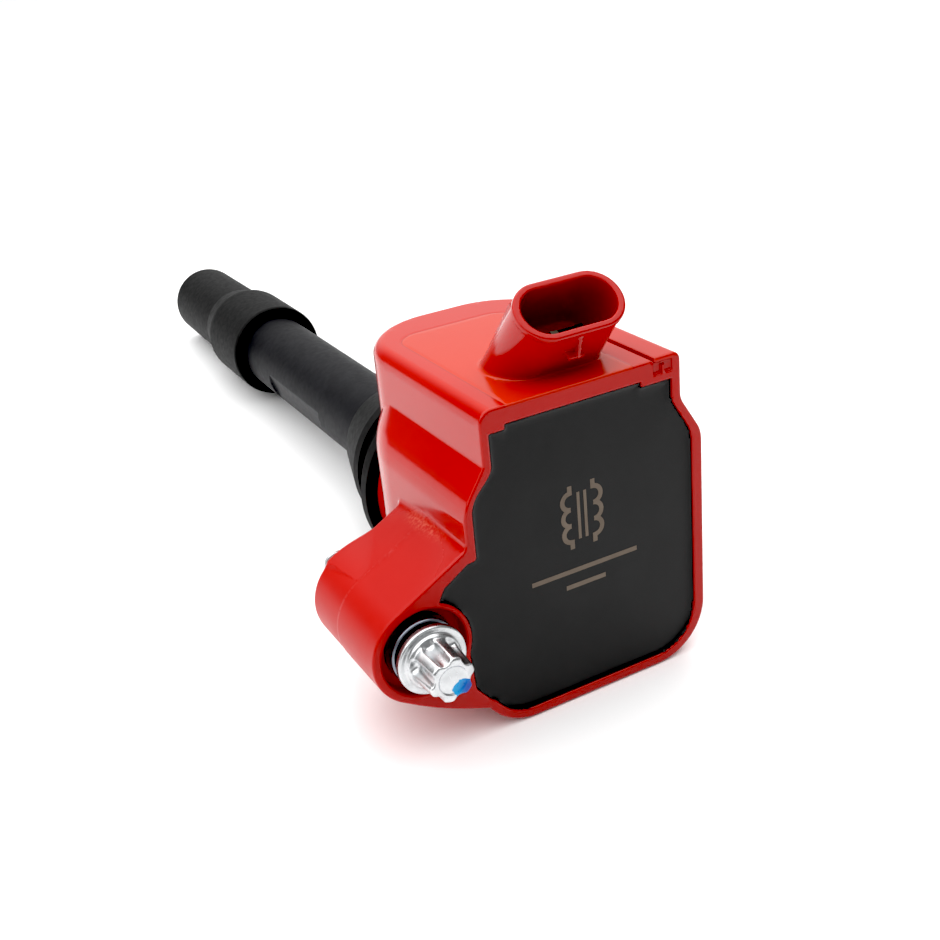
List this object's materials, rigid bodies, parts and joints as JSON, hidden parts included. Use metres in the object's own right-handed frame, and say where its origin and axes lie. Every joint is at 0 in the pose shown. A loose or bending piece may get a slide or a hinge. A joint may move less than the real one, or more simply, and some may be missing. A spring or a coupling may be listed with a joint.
{
  "type": "ignition coil",
  "caption": "Coil-on-plug ignition coil: potted head with bolted ear, tilted connector, sealed stem and plug boot.",
  "frame": {"origin": "on the plug axis, in the middle of the seal lip that enters the plug well", "axes": "+Y along the plug axis from the potted face to the plug boot, +Z towards the connector side, +X away from the ear"},
  "size_m": [0.069, 0.2353, 0.0788],
  "materials": {
    "red_plastic": "satin",
    "epoxy": "satin",
    "zinc_steel": "bright zinc",
    "black_rubber": "matte",
    "black_plastic": "matte",
    "bobbin_plastic": "matte",
    "copper_wire": "enamelled",
    "brass": "plain",
    "core_steel": "laminated",
    "magnet": "ground",
    "ceramic": "matte",
    "spring_steel": "drawn wire",
    "aluminium_plate": "satin"
  },
  "bodies": {
    "coil": {"coil_housing": "red_plastic", "potting_compound": "epoxy", "compression_bush": "zinc_steel", "well_seal": "black_rubber", "stem_tube": "black_plastic", "plug_boot": "black_rubber", "terminal_carrier": "black_plastic", "terminal_pins": "brass", "driver_module": "black_plastic", "heat_spreader": "aluminium_plate", "lead_frame": "brass", "outer_core": "core_steel", "inner_core": "core_steel", "core_magnet": "magnet", "primary_bobbin": "black_plastic", "primary_winding": "copper_wire", "secondary_bobbin": "bobbin_plastic", "secondary_winding": "copper_wire", "hv_diode": "black_plastic", "hv_lead": "copper_wire", "hv_terminal": "brass", "upper_spring": "spring_steel", "suppressor_resistor": "ceramic", "resistor_caps": "spring_steel", "contact_spring": "spring_steel"},
    "retainer": {"screw_retainer": "black_plastic"},
    "screw": {"mounting_screw": "zinc_steel"},
    "contact": {"plug_contact": "brass"}
  },
  "joints": [
    {"name": "screw_slide", "type": "slide", "parent": "coil", "child": "retainer", "axis": [0, 1, 0], "range_m": [0, 0.0015]},
    {"name": "screw_spin", "type": "hinge", "parent": "retainer", "child": "screw", "pos_m": [-0.0345, -0.06, -0.0015], "axis": [0, 1, 0], "continuous": true},
    {"name": "contact_slide", "type": "slide", "parent": "coil", "child": "contact", "axis": [0, -1, 0], "range_m": [0, 0.005], "stiffness_N_per_m": 600, "springref_m": -0.003, "deforming": ["contact_spring"]}
  ]
}
